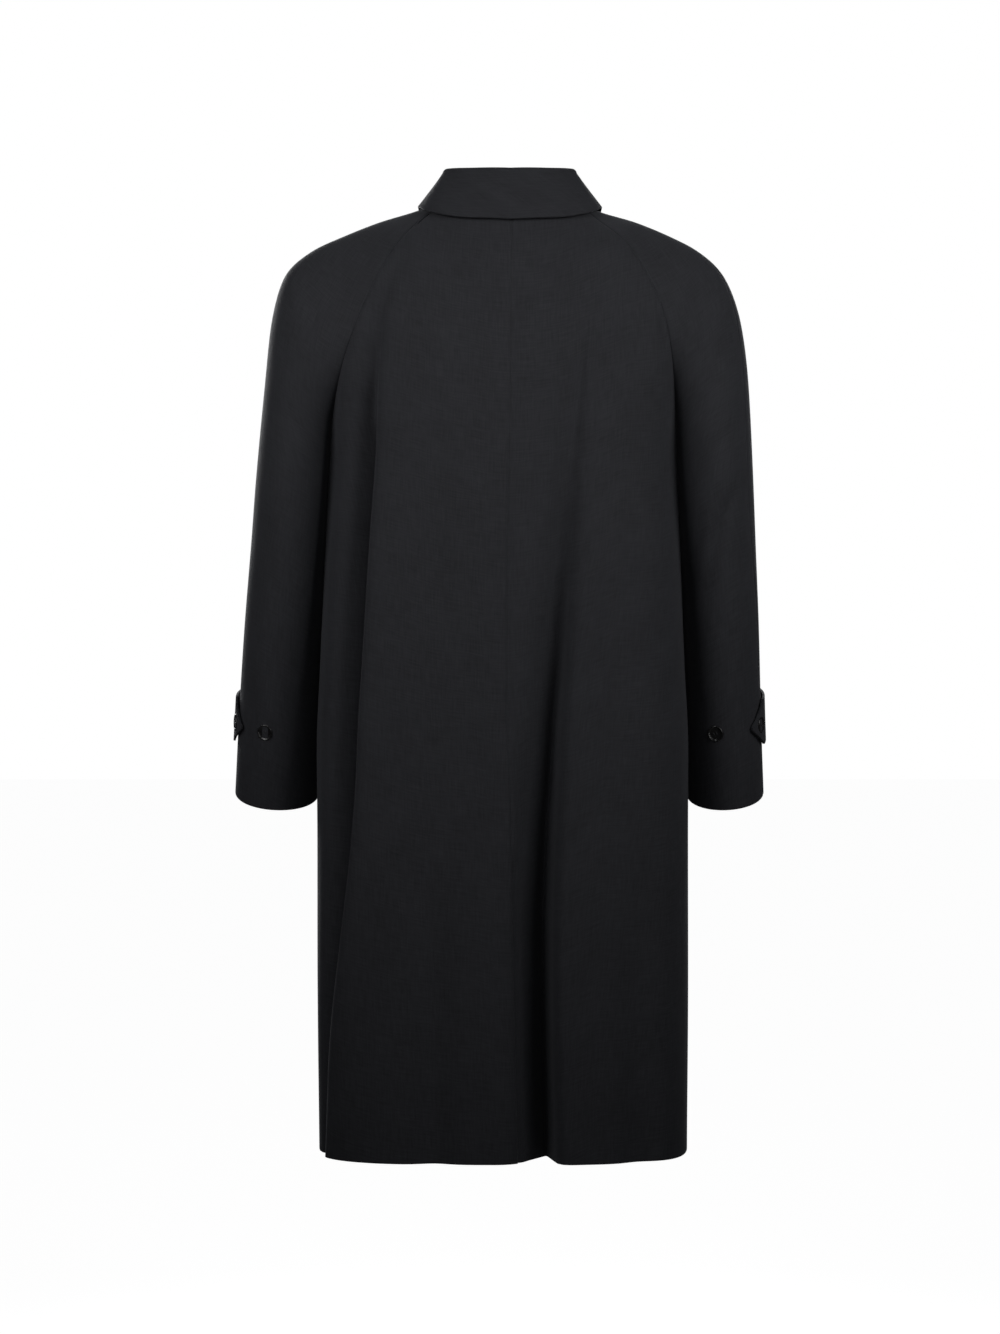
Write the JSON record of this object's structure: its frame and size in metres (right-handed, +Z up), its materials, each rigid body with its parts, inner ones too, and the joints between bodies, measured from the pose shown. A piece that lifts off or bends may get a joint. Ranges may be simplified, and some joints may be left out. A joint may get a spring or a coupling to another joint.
{
  "type": "coat",
  "caption": "Knee-length single-breasted raglan coat in dark wool cloth, hollow and open at neck, hem and cuffs, with a turned-down collar, cuff tabs and a centre back vent.",
  "frame": {"origin": "midway between the two neck points of the shoulders, where the wearer's neck holds the coat", "axes": "+X to the wearer's left, +Y to the back of the coat, +Z up along the wearer"},
  "size_m": [0.5974, 0.3028, 1.0862],
  "materials": {
    "coat_cloth": "smooth, closely milled woollen coating, matt",
    "button_horn": "polished black button with four holes"
  },
  "bodies": {
    "root": {"back_left": "coat_cloth", "back_right": "coat_cloth", "front_left": "coat_cloth", "front_right": "coat_cloth", "sleeve_back_left": "coat_cloth", "sleeve_front_left": "coat_cloth", "sleeve_back_right": "coat_cloth", "sleeve_front_right": "coat_cloth", "collar": "coat_cloth", "tab_left": "coat_cloth", "tab_right": "coat_cloth", "tab_button_left": "button_horn", "sleeve_button_left": "button_horn", "tab_button_right": "button_horn", "sleeve_button_right": "button_horn", "front_button_1": "button_horn", "front_button_2": "button_horn", "front_button_3": "button_horn", "front_button_4": "button_horn"}
  },
  "joints": []
}
